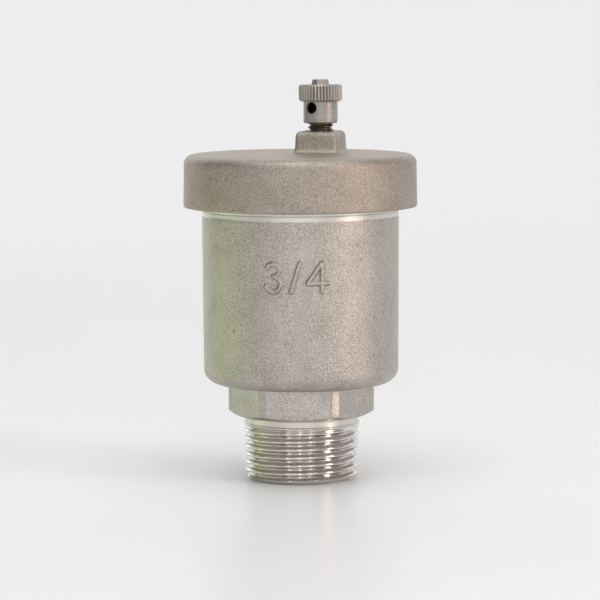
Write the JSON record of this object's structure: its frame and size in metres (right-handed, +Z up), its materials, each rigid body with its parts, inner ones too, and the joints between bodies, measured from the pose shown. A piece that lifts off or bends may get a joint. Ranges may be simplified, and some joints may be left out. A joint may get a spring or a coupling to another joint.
{
  "type": "air release valve",
  "caption": "Float air vent: cast steel cup with hexagon and taper thread inlet, screwed cover, lever-worked seat and a knurled hand cap.",
  "frame": {"origin": "middle of the inlet's end face, on the axis of the cup", "axes": "+Z up along the cup's axis towards the vent, -Y towards the front, with the vent boss behind the middle and to the right"},
  "size_m": [0.0532, 0.0532, 0.0908],
  "materials": {
    "cast_steel": "fine blasted investment casting",
    "turned_steel": "turned, lightly polished",
    "sheet_steel": "rolled sheet",
    "rubber": "matte moulded",
    "fibre": "pressed sealing fibre"
  },
  "bodies": {
    "housing": {"valve_body": "cast_steel", "cover": "cast_steel", "cover_gasket": "fibre", "vent_nipple": "turned_steel", "vent_seat": "turned_steel", "seat_washer": "fibre", "lever_bracket": "sheet_steel", "bracket_screw_1": "turned_steel", "bracket_screw_2": "turned_steel", "lever_pin": "turned_steel", "pin_clip_1": "sheet_steel", "pin_clip_2": "sheet_steel"},
    "float": {"float_upper_shell": "sheet_steel", "float_lower_shell": "sheet_steel", "float_stem": "turned_steel", "link_pin": "turned_steel"},
    "lever_arm": {"lever": "sheet_steel", "seal_pad": "rubber"},
    "cap_seal": {"vent_cap_seal": "rubber"},
    "hand_cap": {"vent_cap": "turned_steel"}
  },
  "joints": [
    {"name": "float_rise", "type": "slide", "parent": "housing", "child": "float", "axis": [0, 0, 1], "range_m": [0, 0.00275]},
    {"name": "lever_swing", "type": "hinge", "parent": "housing", "child": "lever_arm", "pos_m": [0.00809, 0.01033, 0.0631], "axis": [-0.7873, 0.6166, 0], "range_deg": [0, 12.1]},
    {"name": "cap_lift", "type": "slide", "parent": "housing", "child": "cap_seal", "axis": [0, 0, 1], "range_m": [-0.0015, 0.002]},
    {"name": "cap_turn", "type": "hinge", "parent": "cap_seal", "child": "hand_cap", "pos_m": [0.0047, 0.006, 0.085], "axis": [0, 0, 1], "range_deg": [-541, 721]}
  ],
  "couplings": [
    {"joint": "lever_swing", "follows": "float_rise", "rad_per_m": 76.219},
    {"joint": "cap_turn", "follows": "cap_lift", "rad_per_m": 6283.2}
  ]
}
